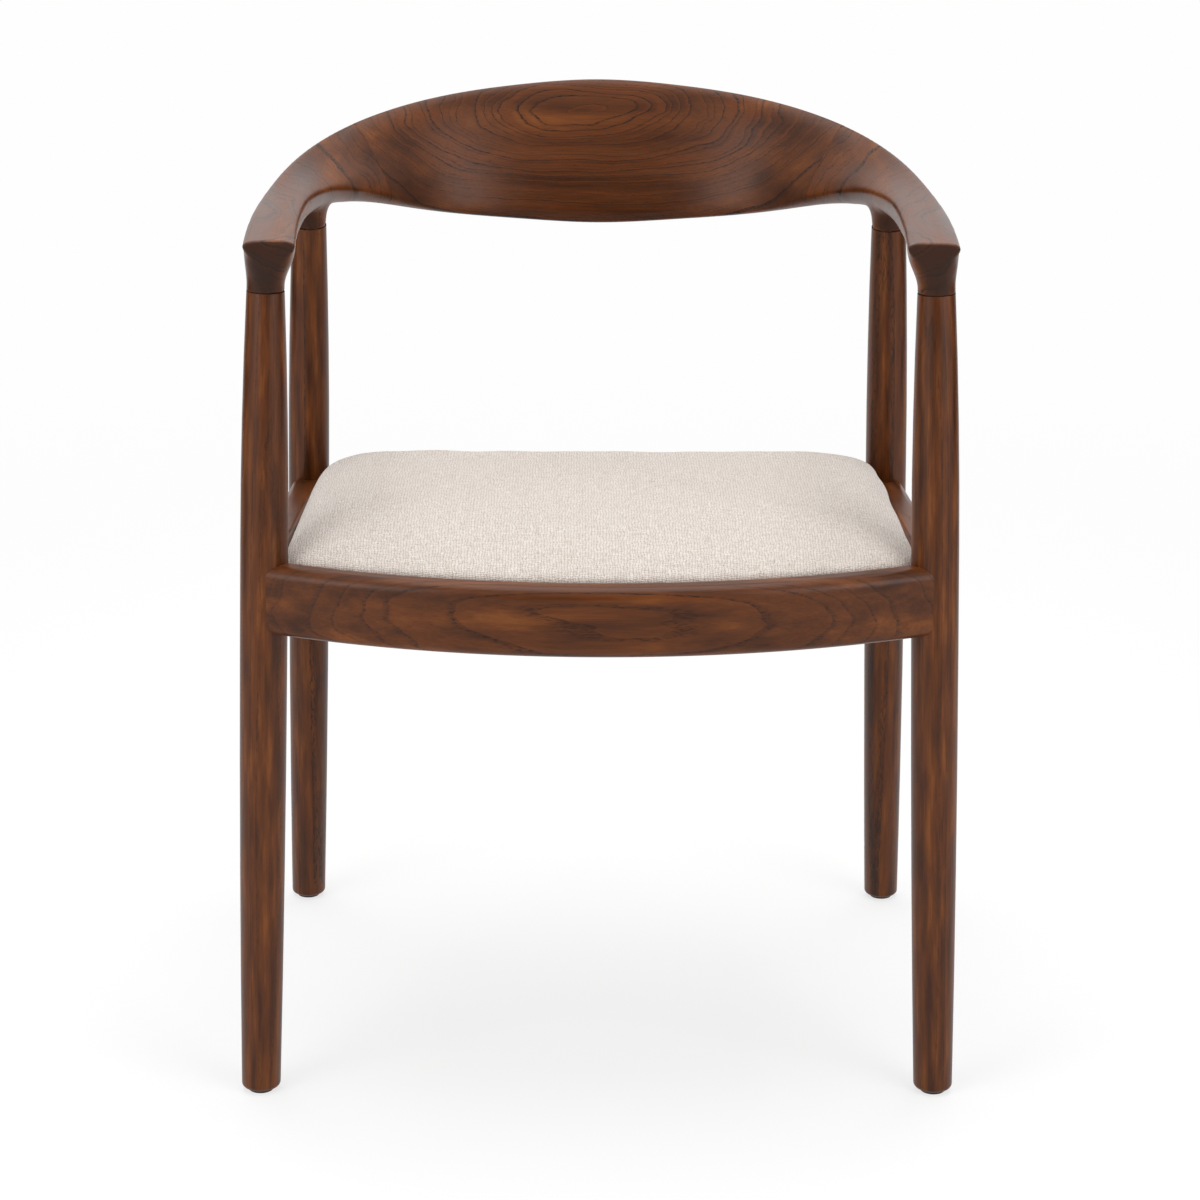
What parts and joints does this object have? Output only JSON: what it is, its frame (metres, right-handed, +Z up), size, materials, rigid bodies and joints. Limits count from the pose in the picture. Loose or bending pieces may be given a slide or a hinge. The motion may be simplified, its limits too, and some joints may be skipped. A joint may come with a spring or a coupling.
{
  "type": "armchair",
  "caption": "Round-back wooden armchair with turned legs, one curved rail that forms arms and backrest, a bowed seat frame and an upholstered drop-in seat.",
  "frame": {"origin": "on the floor, at the middle of the chair's width and depth", "axes": "+Z up, the chair faces -Y, the sitter's left is +X"},
  "size_m": [0.5898, 0.557, 0.775],
  "materials": {
    "stained_ash": "dark brown stained open-pored ash under a satin lacquer",
    "plain_beech": "bare planed beech",
    "plywood": "bare birch plywood",
    "seat_fabric": "oatmeal basket-weave upholstery cloth",
    "seat_foam": "polyurethane foam",
    "dust_fabric": "black non-woven dust cloth",
    "screw_steel": "zinc-plated steel",
    "glide_nylon": "dark brown nylon"
  },
  "bodies": {
    "root": {"arm_left": "stained_ash", "arm_right": "stained_ash", "back_corner_block_left": "plain_beech", "back_corner_block_right": "plain_beech", "back_foot_glide_left": "glide_nylon", "back_foot_glide_right": "glide_nylon", "back_leg_left": "stained_ash", "back_leg_right": "stained_ash", "back_seat_rail": "stained_ash", "backrest": "stained_ash", "backrest_dowels": "plain_beech", "corner_block_screws": "screw_steel", "front_corner_block_left": "plain_beech", "front_corner_block_right": "plain_beech", "front_foot_glide_left": "glide_nylon", "front_foot_glide_right": "glide_nylon", "front_leg_left": "stained_ash", "front_leg_right": "stained_ash", "front_seat_rail": "stained_ash", "seat_cover": "seat_fabric", "seat_dust_cover": "dust_fabric", "seat_foam": "seat_foam", "seat_pan": "plywood", "seat_screws": "screw_steel", "side_seat_rail_left": "stained_ash", "side_seat_rail_right": "stained_ash"}
  },
  "joints": []
}
